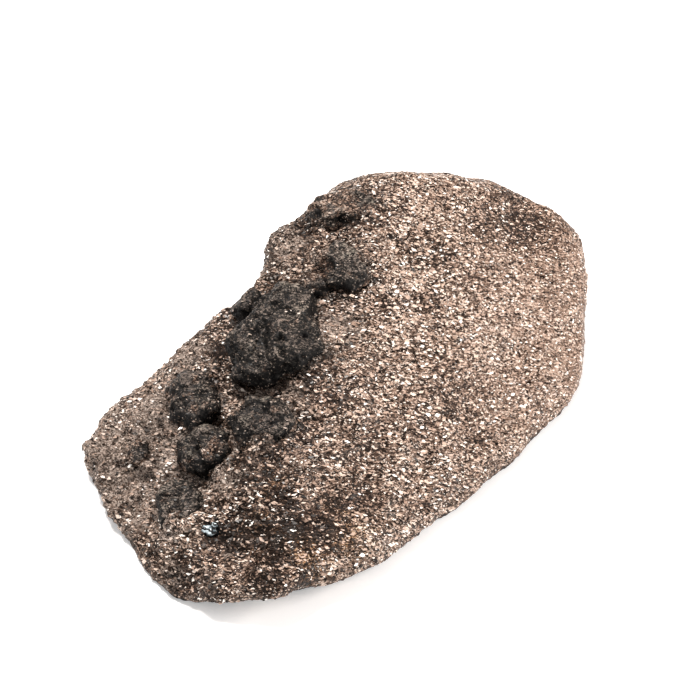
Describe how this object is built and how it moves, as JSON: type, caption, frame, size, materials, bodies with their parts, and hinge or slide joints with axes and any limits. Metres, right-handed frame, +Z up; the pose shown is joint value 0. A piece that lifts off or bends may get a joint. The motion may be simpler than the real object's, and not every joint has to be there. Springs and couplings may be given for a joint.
{
  "type": "alexandrite in mica schist specimen",
  "caption": "Broken hand specimen of mica schist with dark six-sided alexandrite crystals seated in its upper face; a high rounded end, a low thin end and a flat spot to rest on.",
  "frame": {"origin": "centre of the bounding box, at the flat underside", "axes": "+X along the stone from its thin low end to its high end, +Z up from the flat underside, and +Y towards the back edge, away from the long worn front"},
  "size_m": [0.1442, 0.0808, 0.0464],
  "materials": {
    "mica_schist": "grey-brown schist, speckled with pale and dark mica flakes that catch the light",
    "alexandrite": "rough greenish-black crystal with a weak gloss and grains of mica stuck to it"
  },
  "bodies": {
    "root": {"schist_matrix": "mica_schist", "crystal_cluster": "alexandrite", "crystal_shoulder": "alexandrite", "crystal_crest": "alexandrite", "crystal_ledge": "alexandrite", "crystal_middle": "alexandrite", "crystal_low_left": "alexandrite", "crystal_low_right": "alexandrite", "crystal_far_edge": "alexandrite", "crystal_glint": "alexandrite"}
  },
  "joints": []
}
